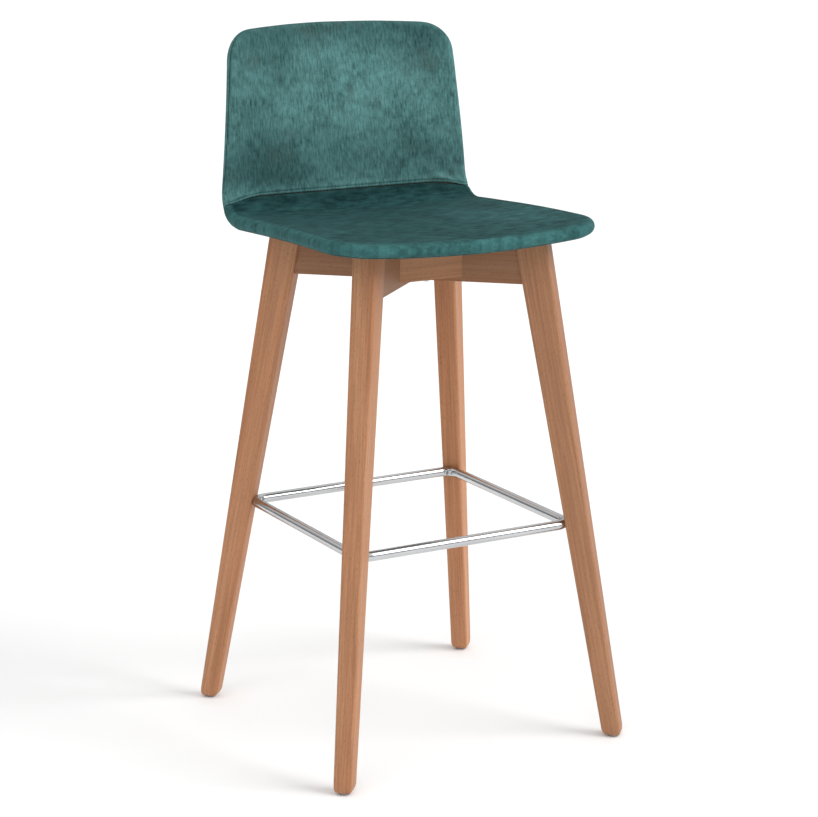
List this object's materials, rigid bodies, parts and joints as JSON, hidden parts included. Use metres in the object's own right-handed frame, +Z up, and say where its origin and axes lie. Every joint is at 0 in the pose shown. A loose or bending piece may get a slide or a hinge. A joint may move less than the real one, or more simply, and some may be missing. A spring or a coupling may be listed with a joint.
{
  "type": "bar stool",
  "caption": "Bar stool with an upholstered seat and back shell, splayed wooden legs and a square tube footrest.",
  "frame": {"origin": "on the floor, under the middle of the stool's overall width and depth", "axes": "+Z up, -Y to the front where the sitter's legs go, +X to the right of someone who faces the stool from its front"},
  "size_m": [0.4932, 0.5069, 1.0432],
  "materials": {
    "beech": "clear matt lacquer",
    "plywood": "raw, sanded",
    "velvet": "vintage-look velvet, short brushed pile",
    "foam": "open-cell cushion foam, dull",
    "chromed_tube": "polished chrome",
    "zinc_fixings": "zinc plated",
    "glide_plastic": "matt moulded",
    "pad_rubber": "matt"
  },
  "bodies": {
    "root": {"leg_front_left": "beech", "leg_front_right": "beech", "leg_back_left": "beech", "leg_back_right": "beech", "cross_rail_lower": "beech", "cross_rail_upper": "beech", "corner_block_front": "beech", "corner_block_back": "beech", "corner_block_left": "beech", "corner_block_right": "beech", "leg_dowels": "beech", "footrest_ring": "chromed_tube", "footrest_screws": "zinc_fixings", "foot_glides": "glide_plastic", "glide_nails": "zinc_fixings", "seat_shell": "plywood", "shell_tee_nuts": "zinc_fixings", "seat_bolts": "zinc_fixings", "seat_washers": "zinc_fixings", "spacer_pads": "pad_rubber", "seat_foam": "foam", "back_foam": "foam", "cover_seat": "velvet", "cover_back": "velvet", "cover_rear": "velvet"}
  },
  "joints": []
}
